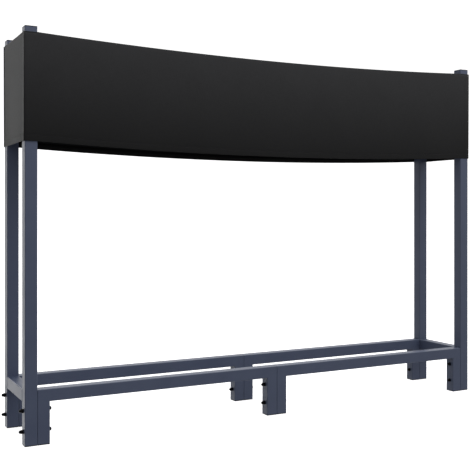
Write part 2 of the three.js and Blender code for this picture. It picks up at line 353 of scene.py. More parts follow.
INSET = np.array([0, 0, BURR, 4 * BURR, -4 * BURR, -BURR, 0, 0])  # of each outline from its end of the tube
AT_START = np.array([1, 1, 1, 1, 0, 0, 0, 0])  # which end each outline belongs to
PALE_EDGE = np.array([0, 0.6, 1, 1, 1, 1, 0.6, 0])  # how far the paint thins at each outline's corners


def painted_tube(name, node_name, points):
    """A tube from its wall's points (outlines x columns x 3), painted and marked along its edges."""
    quads = grid_quads(*points.shape[:2], close_rows=True, close_columns=True)
    piece = new_piece(name, points.reshape(-1, 3), quads)
    add_attribute(piece, "edge", np.outer(PALE_EDGE, on_edge()).ravel())
    return finished(piece, PAINT, "frame", "frame_paint", node_name)


def tube(name, node_name, axis, mitred=False):
    """A square tube in the box of a CAD node, along one of the axes 0, 1 or 2. Where it is mitred, both ends
    are cut at 45 degrees, so that it is shorter below."""
    low, high = box(node_name)
    cross = [(axis + 1) % 3, (axis + 2) % 3]
    half = (high[cross[0]] - low[cross[0]]) / 2
    centre = (low + high) / 2
    outlines = wall_outlines(half)
    slant = (2 * AT_START - 1) * mitred
    square_ends = np.where(AT_START, low[axis], high[axis]) + INSET
    points = np.zeros(outlines.shape + (3,))
    points[..., axis] = square_ends[:, None] + slant[:, None] * (half - outlines.imag)
    points[..., cross[0]] = centre[cross[0]] + outlines.real
    points[..., cross[1]] = centre[cross[1]] + outlines.imag
    return painted_tube(name, node_name, points)


def mitred_leg(name, node_name, inward):
    """An upright tube whose top is cut at 45 degrees and falls towards the inward side in X."""
    low, high = box(node_name)
    half = (high[1] - low[1]) / 2
    centre = (low + high) / 2
    outlines = wall_outlines(half)
    height = (np.where(AT_START, low[2], high[2]) + INSET)[:, None]
    fall = (1 - AT_START)[:, None] * (half + inward * outlines.real)
    points = np.stack([centre[0] + outlines.real, centre[1] + outlines.imag, height - fall], axis=-1)
    return painted_tube(name, node_name, points)


def drilled(piece, row):
    """Cuts the two holes for the screws of that row through a tube, along X."""
    low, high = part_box(f"{row}_left_lower_screw")
    centre = (low + high) / 2
    angle = np.linspace(0, 2 * math.pi, 32, endpoint=False)
    reach = max(abs(corner[0]) for corner in piece.bound_box) + DRILL_OVERRUN
    hole = HOLE_RADIUS * np.exp(1j * angle)
    across = np.broadcast_to(np.array([-reach, reach])[:, None], (2, len(angle)))
    for level in ("lower", "upper"):
        height = sum(corner.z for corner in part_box(f"{row}_left_{level}_screw")) / 2
        rings = np.stack([across, np.broadcast_to(centre.y + hole.real, across.shape),
                          np.broadcast_to(height + hole.imag, across.shape)], axis=-1)
        drill = closed_shell("drill", rings)
        cut = piece.modifiers.new("hole", "BOOLEAN")
        cut.operation = "DIFFERENCE"
        cut.solver = "EXACT"
        cut.object = drill
        applied(piece)
        bpy.data.objects.remove(drill)


def applied(piece):
    """Makes the result of a piece's modifiers its mesh. The edges that they cut are sharp."""
    graph = bpy.context.evaluated_depsgraph_get()
    piece.data = bpy.data.meshes.new_from_object(piece.evaluated_get(graph))
    piece.modifiers.clear()
    piece.data.set_sharp_from_angle(angle=math.radians(35))


def side_frames():
    for end in ENDS:
        for row in ROWS:
            drilled(tube(f"{row}_{end}_corner_post", f"{row}_{end}_post", 2), row)
        for level in ("lower", "upper"):
            tube(f"{end}_{level}_cross_tube", f"{end}_{level}_crossbar", 1)


def base_frames():
    """Rails are mitred at both ends and shorter below, legs are mitred at the top and shorter towards the
    middle of their rail."""
    for row in ROWS:
        for end in ENDS:
            rail = f"{row}_{end}_rail"
            tube(f"{row}_{end}_rail_tube", rail, 0, mitred=True)
            middle = sum(corner.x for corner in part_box(rail)) / 2
            for place in ("outer", "inner"):
                leg = f"{row}_{end}_{place}_leg"
                inward = 1 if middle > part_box(leg)[0].x else -1
                drilled(mitred_leg(f"{leg}_tube", leg, inward), row)


# ---- Welds ----
def swept(path, radius, flatness=1.0, ripple=0.0, phase=0.0, sides=10, spacing=RIPPLE_PITCH / 4):
    """A rod along a closed path: an ellipse of that radius, flattened to flatness across, is carried along
    the path square to its tangent, and its radius swells by ripple once every ripple pitch."""
    gap = np.roll(path, -1, axis=0) - path
    distance = np.concatenate([[0], np.cumsum(np.linalg.norm(gap, axis=1))])
    count = int(distance[-1] / spacing)
    place = np.linspace(0, distance[-1], count, endpoint=False)
    closed = np.concatenate([path, path[:1]])
    centre = np.stack([np.interp(place, distance, closed[:, k]) for k in range(3)], axis=-1)
    ahead = np.roll(centre, -2, axis=0) - np.roll(centre, 2, axis=0)
    ahead /= np.linalg.norm(ahead, axis=1, keepdims=True)
    inward = path.mean(axis=0) - centre
    inward -= np.sum(inward * ahead, axis=1, keepdims=True) * ahead
    inward /= np.linalg.norm(inward, axis=1, keepdims=True)
    sideways = np.cross(ahead, inward)
    swell = radius * (1 + ripple * np.cos(2 * math.pi * place / RIPPLE_PITCH + phase))[:, None, None]
    angle = np.linspace(0, 2 * math.pi, sides, endpoint=False)[None, :, None]
    offset = flatness * np.cos(angle) * inward[:, None] + np.sin(angle) * sideways[:, None]
    return centre[:, None] + swell * offset


def joined_rods(name, rods):
    """Several closed rods as one piece."""
    points, quads, total = [], [], 0
    for rings in rods:
        points.append(rings.reshape(-1, 3))
        quads.append(grid_quads(*rings.shape[:2], close_rows=True, close_columns=True) + total)
        total += rings.shape[0] * rings.shape[1]
    return new_piece(name, np.concatenate(points), np.concatenate(quads), smooth_angle=60)


def crossbar_welds():
    """Fillet beads all round both ends of every crossbar, where it meets the posts."""
    for end in ENDS:
        beads = []
        for level in ("lower", "upper"):
            low, high = box(f"{end}_{level}_crossbar")
            middle = (low + high) / 2
            half = (high[2] - low[2]) / 2
            outline = rounded_square(half - WELD_INSET, TUBE_RADIUS)
            for y, phase in ((low[1], 0.0), (high[1], 1.7)):
                path = np.stack([middle[0] + outline.real, np.full(outline.shape, y),
                                 middle[2] + outline.imag], axis=-1)
                beads.append(swept(path, WELD_RADIUS, 0.55, 0.1, phase))
        finished(joined_rods(f"{end}_side_frame_welds", beads), PAINT, "frame", "frame_paint")


def mitre_welds():
    """Dressed beads along the mitres between the rails and their legs, in the plane at 45 degrees."""
    for row in ROWS:
        for end in ENDS:
            low, high = box(f"{row}_{end}_rail")
            half = (high[1] - low[1]) / 2
            outline = rounded_square(half - SEAM_INSET, TUBE_RADIUS)
            beads = []
            for corner_x, inward, phase in ((low[0], 1, 0.4), (high[0], -1, 2.1)):
                x = corner_x + inward * (half + outline.real)
                z = high[2] - (half + outline.real)
                path = np.stack([x, (low[1] + high[1]) / 2 + outline.imag, z], axis=-1)
                beads.append(swept(path, SEAM_RADIUS, 0.85, 0.03, phase))
            finished(joined_rods(f"{row}_{end}_base_frame_welds", beads), PAINT, "frame", "frame_paint")


# ---- Plugs and caps ----
def square_shell(name, centre, profile, material, slot, *replaced):
    """A closed piece of square plan: profile gives half width, corner radius and height of each outline, from
    the bottom pole to the top pole."""
    rings = []
    for half, radius, height in profile:
        outline = rounded_square(half, radius, steps=4, margin=min(0.4 * MM, half / 4))
        rings.append(np.stack([centre[0] + outline.real, centre[1] + outline.imag,
                               np.full(outline.shape, height)], axis=-1))
    piece = closed_shell(name, np.array(rings))
    return finished(piece, material, "frame", slot, *replaced)


def quarter_round(half, radius, edge, height, up, steps=4):
    """Profile points of a rounded edge between an upright side at half and a flat face at height. up is +1
    where the face looks up; the points run from the side to the face, or back where it looks down."""
    angle = np.linspace(0, math.pi / 2, steps + 1)
    drop = edge * (1 - np.sin(angle))
    inset = edge * (1 - np.cos(angle))
    points = [(half - i, max(radius - i, 0.3 * MM), height - up * d) for i, d in zip(inset, drop)]
    return points if up > 0 else points[::-1]


def lamella_insert(half, low, high, up):
    """Profile of the hollow insert with its springy lamellae, from the flange to the rim, and back inside."""
    core = half - LAMELLA_REACH
    profile = [(core, 1 * MM, low)]
    tilt = up * LAMELLA_TILT
    for lamella in range(LAMELLAE):
        base = low + (high - low) * (lamella + 0.6) / (LAMELLAE + 0.4)
        profile += [(core, 1 * MM, base), (half, 1.2 * MM, base + tilt),
                    (half, 1.2 * MM, base + 1.6 * tilt), (core, 1 * MM, base + 1.9 * tilt)]
    inner = core - PLUG_WALL * 0.7
    return profile + [(core, 1 * MM, high), (inner, 0.6 * MM, high), (inner, 0.6 * MM, low)]


def foot_plug(node_name):
    """Flange that the leg stands on, slightly hollow below with rounded edges, and the insert in the tube."""
    low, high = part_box(node_name)
    centre = (low + high) / 2
    half = (high.x - low.x) / 2
    flange = low.z + CAP_HEIGHT
    profile = [(4 * MM, 1 * MM, low.z + 0.6 * MM), (half - 7 * MM, 2 * MM, low.z + 0.6 * MM),
               (half - 6 * MM, 2 * MM, low.z)]
    profile += quarter_round(half, TUBE_RADIUS, 0.8 * MM, low.z, -1)
    profile += quarter_round(half, TUBE_RADIUS, 0.3 * MM, flange, 1, steps=2)
    profile += lamella_insert(half - WALL - INSERT_GAP, flange, high.z, 1)
    profile += [(4 * MM, 0.6 * MM, flange)]
    square_shell(node_name + "_plug", centre, profile, PLASTIC, "foot_plastic", node_name)


def post_cap(row, end):
    """Cap on top of a post: insert, flange and a slightly crowned top."""
    low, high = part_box(f"{row}_{end}_post")
    centre = (low + high) / 2
    half = (high.x - low.x) / 2
    seat, top = high.z + 0.05 * MM, high.z + CAP_HEIGHT
    insert = lamella_insert(half - WALL - INSERT_GAP, seat, seat - INSERT_DEPTH, -1)
    profile = [(4 * MM, 0.6 * MM, seat)] + insert[::-1]
    profile += quarter_round(half, TUBE_RADIUS, 0.3 * MM, seat, -1, steps=2)
    profile += quarter_round(half, TUBE_RADIUS, 1 * MM, top, 1)
    for share in (0.8, 0.55, 0.25):
        profile.append((share * half, TUBE_RADIUS * share, top + CAP_CROWN * (1 - share ** 2)))
    square_shell(f"{row}_{end}_post_cap", centre, profile, PLASTIC, "foot_plastic")


# ---- Screws, nuts and washers ----
def turned(name, rings_rz, seat, direction, turn, *replaced):
    """A steel piece turned about its own axis, which starts at seat and points along X in that direction.
    rings_rz is (rings x columns x 2): radius and height for each ring and angle."""
    columns = rings_rz.shape[1]
    angle = turn + np.linspace(0, 2 * math.pi, columns, endpoint=False)
    radius, height = rings_rz[..., 0], rings_rz[..., 1]
    first = radius * np.cos(angle)
    second = radius * np.sin(angle)
    points = np.stack([seat[0] + direction * height, seat[1] + direction * first, seat[2] + second], axis=-1)
    return finished(closed_shell(name, points), STEEL, "frame", "black_screws", *replaced)


def hexagon(across, columns):
    """Radius of a hexagon at equal angles, the first one on the middle of a flat."""
    angle = np.linspace(0, 2 * math.pi, columns, endpoint=False)
    from_flat = (angle + math.pi / 6) % (math.pi / 3) - math.pi / 6
    return across / 2 / np.cos(from_flat)


def rings_from(profile, columns):
    """Rings from a list of (radius, height), where either may be an array over the angles."""
    ring = [np.stack([np.broadcast_to(r, columns), np.broadcast_to(h, columns)], axis=-1) for r, h in profile]
    return np.array(ring, float)


def socket_screw(name, seat, direction, turn, end, *replaced):
    """Socket head screw, from the end of its thread up through the grip, the knurled head and down into the
    hexagon socket. The thread is a triangle wave of height minus pitch times angle."""
    columns = 96
    angle = np.linspace(0, 2 * math.pi, columns, endpoint=False)
    head, top = HEAD_RADIUS, WASHER_THICKNESS + HEAD_HEIGHT
    thread_top = end + THREAD_LENGTH
    profile = [(SCREW_RADIUS - 1 * MM, end)]
    for height in np.arange(end + 0.6 * MM, thread_top, THREAD_PITCH / 6):
        wave = (height / THREAD_PITCH - angle / (2 * math.pi)) % 1
        fade = np.clip(min(height - end, thread_top - height) / (1.2 * MM), 0.2, 1)
        profile.append((SCREW_RADIUS - THREAD_DEPTH * (fade * np.abs(2 * wave - 1) + 1 - fade), height))
    profile += [(SCREW_RADIUS, thread_top), (SCREW_RADIUS, WASHER_THICKNESS - 0.2 * MM)]
    foot = WASHER_THICKNESS
    profile += [(head - 0.5 * MM, foot + 0.02 * MM), (head - 0.2 * MM, foot + 0.2 * MM)]
    knurl = head - 0.16 * MM * (1 - np.cos(KNURLS * angle))
    profile += [(head - 0.2 * MM, foot + 0.8 * MM), (knurl, foot + 1.2 * MM), (knurl, top - 1.6 * MM),
                (head - 0.2 * MM, top - 1.2 * MM), (head - 0.2 * MM, top - 0.7 * MM),
                (head - 0.4 * MM, top - 0.3 * MM), (head - 0.9 * MM, top)]
    key = hexagon(KEY_FLATS, columns)
    profile += [(key + 0.5 * MM, top), (key, top - 0.4 * MM), (key, top - KEY_DEPTH),
                (key * 0.3, top - 1.2 * KEY_DEPTH)]
    turned(name, rings_from(profile, columns), seat, direction, turn, *replaced)


def dome_nut(name, seat, direction, turn, *replaced):
    """Domed cap nut. The hexagon is cut by a 30 degree cone at both ends, so its radius is the smaller of
    hexagon and cone; the dome is a short cylinder under a half sphere; the bore is blind."""
    columns = 72
    six = hexagon(NUT_FLATS, columns)
    bottom = WASHER_THICKNESS + 0.02 * MM
    hex_top = WASHER_THICKNESS + NUT_HEX_HEIGHT
    tip = WASHER_THICKNESS + NUT_HEIGHT
    dome = DOME_RADIUS
    profile = [(3.3 * MM, bottom + 9.5 * MM), (3.3 * MM, bottom + 1 * MM), (4.2 * MM, bottom)]
    reach = 6.2 * MM
    slope = math.tan(math.radians(30))
    rises = np.array([0, 0.15, 0.3, 0.45, 0.6, 0.75]) * MM
    profile += [(np.minimum(six, reach + rise / slope), bottom + rise) for rise in rises]
    profile += [(np.minimum(six, reach + rise / slope), hex_top - rise) for rise in rises[::-1]]
    profile += [(dome + 0.02 * MM, hex_top + 0.05 * MM), (dome, hex_top + 0.3 * MM)]
    for lift in np.linspace(0, math.pi / 2, 11)[:-1]:
        profile.append((dome * math.cos(lift), tip - dome + dome * math.sin(lift)))
    turned(name, rings_from(profile, columns), seat, direction, turn, *replaced)


def washer(name, seat, direction):
    """Flat washer with the rounded edge of the punched side."""
    columns = 64
    outer, inner, top = WASHER_RADIUS, WASHER_BORE, WASHER_THICKNESS
    edge = 0.25 * MM
    corners = [(inner, edge), (inner + edge, 0), (outer - edge / 2, 0), (outer, edge / 2),
               (outer, top - edge), (outer - edge * 0.3, top - edge * 0.3), (outer - edge, top),
               (inner + edge, top), (inner, top - edge)]
    rings = rings_from(corners, columns)
    angle = np.linspace(0, 2 * math.pi, columns, endpoint=False)
    radius, height = rings[..., 0], rings[..., 1]
    points = np.stack([seat[0] + direction * height, seat[1] + direction * radius * np.cos(angle),
                       seat[2] + radius * np.sin(angle)], axis=-1)
    quads = grid_quads(*points.shape[:2], close_rows=True, close_columns=True)
    finished(new_piece(name, points.reshape(-1, 3), quads), STEEL, "frame", "black_screws")


def fasteners():
    """Each screw's head looks away from its nut. A seat is the face of the tube under a washer."""
    chance = np.random.default_rng(8)
    for row in ROWS:
        for place in ("left", "middle", "right"):
            for level in ("lower", "upper"):
                stem = f"{row}_{place}_{level}"
                bolt_low, bolt_high = box(stem + "_screw")
                nut_low, nut_high = box(stem + "_cap_nut")
                middle = (nut_low + nut_high) / 2
                side = 1.0 if middle[0] > (bolt_low + bolt_high)[0] / 2 else -1.0
                nut_seat = np.array([nut_low[0] if side > 0 else nut_high[0], middle[1], middle[2]])
                head_top = bolt_low[0] if side > 0 else bolt_high[0]
                head_seat = nut_seat.copy()
                head_seat[0] = head_top + side * (WASHER_THICKNESS + HEAD_HEIGHT)
                length = bolt_high[0] - bolt_low[0] - WASHER_THICKNESS - HEAD_HEIGHT
                turns = chance.uniform(0, math.pi, 2)
                socket_screw(f"{stem}_socket_screw", head_seat, -side, turns[0], -length, stem + "_screw")
                washer(f"{stem}_screw_washer", head_seat, -side)
                dome_nut(f"{stem}_dome_nut", nut_seat, side, turns[1], stem + "_cap_nut")
                washer(f"{stem}_nut_washer", nut_seat, side)


# ---- Cover ----
POST_LOW, POST_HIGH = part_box("front_right_post")
POST_CLEARANCE = 3 * MM  # round the posts in their openings
SAG_SPAN = POST_LOW.x  # the fabric hangs between the inner faces of the posts
NOTCH_X = POST_LOW.x - POST_CLEARANCE
NOTCH_Y = -POST_HIGH.y - POST_CLEARANCE
MESH_STEP_X = 11 * MM
MESH_STEP_Z = 10 * MM


def sag(x):
    """How far the top hangs down: SAG (1 - (x / span)^2) between the posts, and nothing past them."""
    return np.maximum(0, SAG * (1 - (x / SAG_SPAN) ** 2))


def stretches(stops, step):
    """Positions from the first stop to the last, through all of them, in equal steps of at most `step`."""
    parts = [np.linspace(a, b, max(1, math.ceil((b - a) / step)), endpoint=False)
             for a, b in zip(stops, stops[1:])]
    return np.concatenate(parts + [stops[-1:]])


def perimeter(lines_x, lines_y, radius, steps):
    """The skirt's plan, counter-clockwise from the front left: four straight sides through the given lines,
    joined by quarter circles. Gives points, outward directions and the length along it, all as arrays."""
    angle = np.linspace(0, math.pi / 2, steps + 1)[1:-1]
    x, y = HALF_LENGTH - radius, HALF_DEPTH - radius
    sides = [(lines_x - 1j * HALF_DEPTH, -1j), (HALF_LENGTH + 1j * lines_y, 1),
             (-lines_x + 1j * HALF_DEPTH, 1j), (-HALF_LENGTH - 1j * lines_y, -1)]
    corners = [x - 1j * y, x + 1j * y, -x + 1j * y, -x - 1j * y]
    points, outward = [], []
    for (side, normal), corner in zip(sides, corners):
        turning = normal * np.exp(1j * angle)
        points += [side, corner + radius * turning]
        outward += [np.full(side.shape, normal, complex), turning]
    points, outward = np.concatenate(points), np.concatenate(outward)
    length = np.concatenate([[0], np.cumsum(np.abs(np.diff(np.append(points, points[0]))))])
    return points, outward, length


FLAT_X = HALF_LENGTH - FOLD_RADIUS
FLAT_Y = HALF_DEPTH - FOLD_RADIUS
AROUND = 4 * (FLAT_X + FLAT_Y) + 2 * math.pi * FOLD_RADIUS  # length of the skirt's perimeter


def around(s):
    """Point in plan and outward direction at the length s along the perimeter, as complex numbers. s = 0 is
    where the front's straight part starts on the left."""
    ends_x, ends_y = np.array([-FLAT_X, FLAT_X]), np.array([-FLAT_Y, FLAT_Y])
    plan, outward, length = perimeter(ends_x, ends_y, FOLD_RADIUS, 16)
    s = np.mod(s, AROUND) * length[-1] / AROUND
    closed = np.append(plan, plan[0]), np.append(outward, outward[0])
    return [np.interp(s, length, line.real) + 1j * np.interp(s, length, line.imag) for line in closed]


def waves(s, height):
    """How far the skirt stands out, by the length s along it and the height above the hem: a few broad waves,
    a whole number of each round the cover, none at the top fold and growing towards the hem."""
    share = np.clip(1 - height / SKIRT, 0, 1) ** 1.3
    turn = 2 * math.pi * s / AROUND
    broad = 0.9 * np.sin(6 * turn + 0.6) + 0.6 * np.sin(10 * turn + 2.2)
    return MM * share * (broad + 0.35 * np.sin(17 * turn + 4))


def seams(x, y, height):
    """How much thicker the skirt stands at the felled seams down the end panels' edges, less the groove that
    the stitches draw into the hem."""
    on_end = np.abs(x) > FLAT_X + FOLD_RADIUS / 2
    by_corner = np.abs(y) > FLAT_Y - SEAM_WIDTH - 0.1 * MM
    felled = SEAM_THICKNESS * (on_end & by_corner)
    groove = 0.3 * MM * np.exp(-((height - HEM_SEAM) / (3 * MM)) ** 2)
    return felled - groove


def hem_height(x):
    """The hem follows the sag, and hangs lower towards the right-hand end."""
    return END_HEM - sag(x) - HEM_DROP_RIGHT * np.clip((x + HALF_LENGTH) / (2 * HALF_LENGTH), 0, 1)


DRAPE_LIMIT = 9 * MM  # most that the simulation may move a point
DRAPE_FRAMES = 45
POST_CELLS = 2  # squares of the simulation's grid that a post's opening takes up, each way
FULLNESS = 0.002  # share by which the free fabric is cut longer than it needs to be


class Drape:
    """The difference that the cloth simulation makes, kept on the even grid it ran on: skirt[row, column]
    round the cover and top[i, j] over it."""

    columns_x, columns_y, rows = 80, 13, 15

    def __init__(self):
        nx, ny = self.columns_x, self.columns_y
        self.around = 2 * (nx + ny)
        self.skirt = np.zeros((self.rows + 1, self.around, 3))
        self.top = np.zeros((nx + 1, ny + 1, 3))

    def column(self, x, y):
        """Column number, with its fraction, of a point in plan on the perimeter."""
        nx, ny = self.columns_x, self.columns_y
        along_x = np.clip((x + HALF_LENGTH) / (2 * HALF_LENGTH), 0, 1) * nx
        along_y = np.clip((y + HALF_DEPTH) / (2 * HALF_DEPTH), 0, 1) * ny
        front, back = HALF_DEPTH + y, HALF_DEPTH - y
        left, right = HALF_LENGTH + x, HALF_LENGTH - x
        side = np.argmin([front, right, back, left], axis=0)
        return np.choose(side, [along_x, nx + along_y, 2 * nx + ny - along_x, 2 * nx + 2 * ny - along_y])

    def on_skirt(self, x, y, share):
        """Displacement at share of the skirt's height, 0 at the hem and 1 at the fold."""
        return smooth_lookup(self.skirt, share * self.rows, self.column(x, y), wrap=True)

    def on_top(self, x, y):
        i = np.clip((x + HALF_LENGTH) / (2 * HALF_LENGTH), 0, 1) * self.columns_x
        j = np.clip((y + HALF_DEPTH) / (2 * HALF_DEPTH), 0, 1) * self.columns_y
        return smooth_lookup(self.top, i, j, wrap=False)


def smooth_lookup(grid, row, column, wrap):
    """Catmull-Rom spline through the points of a grid, at arrays of fractional row and column numbers."""
    row, column = np.broadcast_arrays(row, column)

    def weights(position, count, closed):
        base = np.floor(position).astype(int)
        base = base if closed else np.clip(base, 0, count - 2)
        f = position - base
        share = [(-f + 2 * f ** 2 - f ** 3) / 2, (2 - 5 * f ** 2 + 3 * f ** 3) / 2,
                 (f + 4 * f ** 2 - 3 * f ** 3) / 2, (f ** 3 - f ** 2) / 2]
        near = [base + k for k in (-1, 0, 1, 2)]
        index = [i % count if closed else np.clip(i, 0, count - 1) for i in near]
        return share, index

    row_share, row_index = weights(row, grid.shape[0], False)
    column_share, column_index = weights(column, grid.shape[1], wrap)
    total = np.zeros(row.shape + (grid.shape[2],))
    for a, i in zip(row_share, row_index):
        for b, j in zip(column_share, column_index):
            total += (a * b)[..., None] * grid[i, j]
    return total


DRAPE = Drape()


def skirt_surface(plan, outward, s, height, depth):
    """Points of the skirt. plan and outward are complex and s is the length along the perimeter, for each
    column. height above the hem and depth behind the outer face are for each row."""
    x, y = plan.real[None, :], plan.imag[None, :]
    hem = hem_height(x)
    fold = COVER_TOP - FOLD_RADIUS - sag(x)
    nominal = SKIRT - FOLD_RADIUS
    share = height[:, None] / nominal
    outside = depth[:, None] < 0.1 * MM
    out = waves(s[None, :], height[:, None]) - depth[:, None] + outside * seams(x, y, height[:, None])
    points = np.stack([x + outward.real * out, y + outward.imag * out, hem + (fold - hem) * share], axis=-1)
    return points + DRAPE.on_skirt(x, y, np.clip(share, 0, 1))


def over_fold(along, half):
    """Position across and drop below the flat of a point at a length along the top from its middle, where the
    fold at either side is a quarter circle down to the skirt's face."""
    angle = np.clip((np.abs(along) - (half - FOLD_RADIUS)) / FOLD_RADIUS, 0, math.pi / 2)
    flat = np.clip(np.abs(along), 0, half - FOLD_RADIUS)
    return np.sign(along) * (flat + FOLD_RADIUS * np.sin(angle)), FOLD_RADIUS * (1 - np.cos(angle))


def top_surface(along_x, along_y):
    """Points of the top at lengths along it from its middle, over the folds and down the sag."""
    x, drop_x = over_fold(along_x, HALF_LENGTH)
    y, drop_y = over_fold(along_y, HALF_DEPTH)
    x, y, drop = np.broadcast_arrays(x, y, drop_x + drop_y)
    return np.stack([x, y, COVER_TOP - drop - sag(x)], axis=-1) + DRAPE.on_top(x, y)


def with_folds(lines, half, steps):
    """Lines across the top with those over the folds at both ends, as lengths from the middle."""
    beyond = half - FOLD_RADIUS + FOLD_RADIUS * np.linspace(math.pi / 2, 0, steps + 1)[:-1]
    return np.concatenate([-beyond, lines, beyond[::-1]])


def hem_profile():
    """Height above the hem and depth behind the outer face of each row of the skirt: down inside the
    turned-up hem, half a circle round its edge, and up the outside to the fold."""
    turn = np.linspace(-math.pi / 2, math.pi / 2, 7)
    beside = 6 * MM  # of the hem's stitches, where the rows lie closer
    stops = [2 * MM, HEM_SEAM - beside, HEM_SEAM + beside, SKIRT - FOLD_RADIUS]
    outer = stretches(np.array(stops), MESH_STEP_Z)
    outer = np.union1d(outer, HEM_SEAM + np.linspace(-6, 6, 7) * MM)
    inside = [HEM_ALLOWANCE, HEM_ALLOWANCE / 2, 2 * MM]
    height = np.concatenate([inside, HEM_FOLD * (1 - np.cos(turn)), outer])
    depth = np.concatenate([[2 * HEM_FOLD] * len(inside), HEM_FOLD * (1 - np.sin(turn)), 0 * outer])
    return height, depth


def cover_piece():
    """The fabric of the cover: a skirt all round and a top with a square opening at each corner for the
    posts, which shares its edge points with the skirt."""
    steps = 4
    lines_x = stretches(np.array([-FLAT_X, -NOTCH_X, NOTCH_X, FLAT_X]), MESH_STEP_X)
    seam = FLAT_Y - SEAM_WIDTH
    step_in = seam - 0.8 * MM  # the felled seam's edge falls to the panel within this
    stops_y = np.array([-FLAT_Y, -seam, -step_in, -NOTCH_Y, NOTCH_Y, step_in, seam, FLAT_Y])
    lines_y = stretches(stops_y, MESH_STEP_X)
    plan, outward, s = perimeter(lines_x, lines_y, FOLD_RADIUS, steps)
    columns = len(plan)
    height, depth = hem_profile()
    rows = len(height)
    skirt = skirt_surface(plan, outward, s[:-1], height, depth)

    top_x, top_y = with_folds(lines_x, HALF_LENGTH, steps), with_folds(lines_y, HALF_DEPTH, steps)
    top = top_surface(top_x[None, :], top_y[:, None])

    main_x = np.flatnonzero(np.abs(top_x) <= NOTCH_X + 1e-9)
    tab_y = np.flatnonzero(np.abs(top_y) <= NOTCH_Y + 1e-9)
    cell_x, cell_y = np.meshgrid(np.arange(len(top_x) - 1), np.arange(len(top_y) - 1), indexing="ij")
    in_main = (cell_x >= main_x[0]) & (cell_x < main_x[-1])
    in_tab = (cell_y >= tab_y[0]) & (cell_y < tab_y[-1])
    cells = grid_quads(len(top_y), len(top_x)).reshape(len(top_y) - 1, len(top_x) - 1, 4)
    cells = cells[(in_main | in_tab).T]

    nx, ny = len(lines_x), len(lines_y)
    arc = steps - 1
    number = np.full((len(top_y), len(top_x)), -1)
    last = (rows - 1) * columns
    side_x = main_x - steps
    side_y = tab_y - steps
    number[0, main_x] = last + side_x
    number[-1, main_x] = last + (nx + arc + ny + arc) + (nx - 1 - side_x)
    number[tab_y, -1] = last + (nx + arc) + side_y
    number[tab_y, 0] = last + (2 * nx + ny + 3 * arc) + (ny - 1 - side_y)
    used = np.zeros(number.size, bool)
    used[np.unique(cells)] = True
    free = used.reshape(number.shape) & (number < 0)
    number[free] = rows * columns + np.arange(free.sum())
    points = np.concatenate([skirt.reshape(-1, 3), top[free]])
    quads = np.concatenate([grid_quads(rows, columns, close_columns=True), number.ravel()[cells]])
    piece = new_piece("rain_cover", points, quads, smooth_angle=80)

    skirt_uv = np.stack(np.broadcast_arrays(s[None, :], height[:, None]), axis=-1)
    top_uv = np.stack(np.meshgrid(top_x + FLAT_X, SKIRT + FLAT_Y + top_y), axis=-1)
    skirt_corners = skirt_uv.reshape(-1, 2)[grid_quads(rows, columns + 1)]
    uv = np.concatenate([skirt_corners, top_uv.reshape(-1, 2)[cells]])
    piece.data.uv_layers.new(name="weave").data.foreach_set("uv", uv.astype(np.float32).ravel())
    piece.data.materials.append(CANVAS)
    piece.data.materials.append(COATING)
    wall = piece.modifiers.new("fabric thickness", "SOLIDIFY")
    wall.thickness = FABRIC
    wall.offset = -1
    wall.material_offset = 1
    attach(piece, "cover")
    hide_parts("cover_main_panel", "cover_left_end", "cover_right_end")
    return piece


def corner_piping():
    """Round binding of the four openings for the posts. Its path runs along the skirt's top edge round the
    outer corner, over the end fold, in along the top to the opening's inner corner, and out again over the
    long fold."""
    loops = []
    end_x, end_y = (half - FOLD_RADIUS + FOLD_RADIUS * math.pi / 2 for half in (HALF_LENGTH, HALF_DEPTH))
    edge = np.array([SKIRT - FOLD_RADIUS])
    corner = 2 * FLAT_X + math.pi * FOLD_RADIUS / 2
    reach = np.linspace(-(FLAT_X - NOTCH_X), corner - 2 * FLAT_X + FLAT_Y - NOTCH_Y, 24) + 2 * FLAT_X
    plan, outward = around(reach)
    skirt_edge = skirt_surface(plan, outward, reach, edge, 0 * edge)[0]
    samples = 15
    inward = top_surface(np.linspace(end_x, NOTCH_X, samples + 1)[1:], np.full(samples, -NOTCH_Y))
    outwards = top_surface(np.full(samples, NOTCH_X), np.linspace(-NOTCH_Y, -end_y, samples + 1)[1:])
    front_right = np.concatenate([skirt_edge, inward, outwards[:-1]])
    for x in (-1, 1):
        for y in (-1, 1):
            loops.append(swept(front_right * (x, -y, 1), PIPING_RADIUS, sides=8, spacing=1.5 * MM))
    piece = joined_rods("cover_corner_piping", loops)
    return finished(piece, THREAD, "cover", "cover_fabric")


def stitch_row(path, outward):
    """Stitches along an open path of points, one every pitch: centre, direction and outward direction."""
    distance = np.concatenate([[0], np.cumsum(np.linalg.norm(np.diff(path, axis=0), axis=1))])
    place = np.arange(STITCH_PITCH / 2, distance[-1], STITCH_PITCH)

    def at(where, lines):
        return np.stack([np.interp(where, distance, lines[:, k]) for k in range(3)], axis=-1)

    ahead = at(place + STITCH_PITCH / 4, path) - at(place - STITCH_PITCH / 4, path)
    return at(place, path), ahead, at(place, outward)


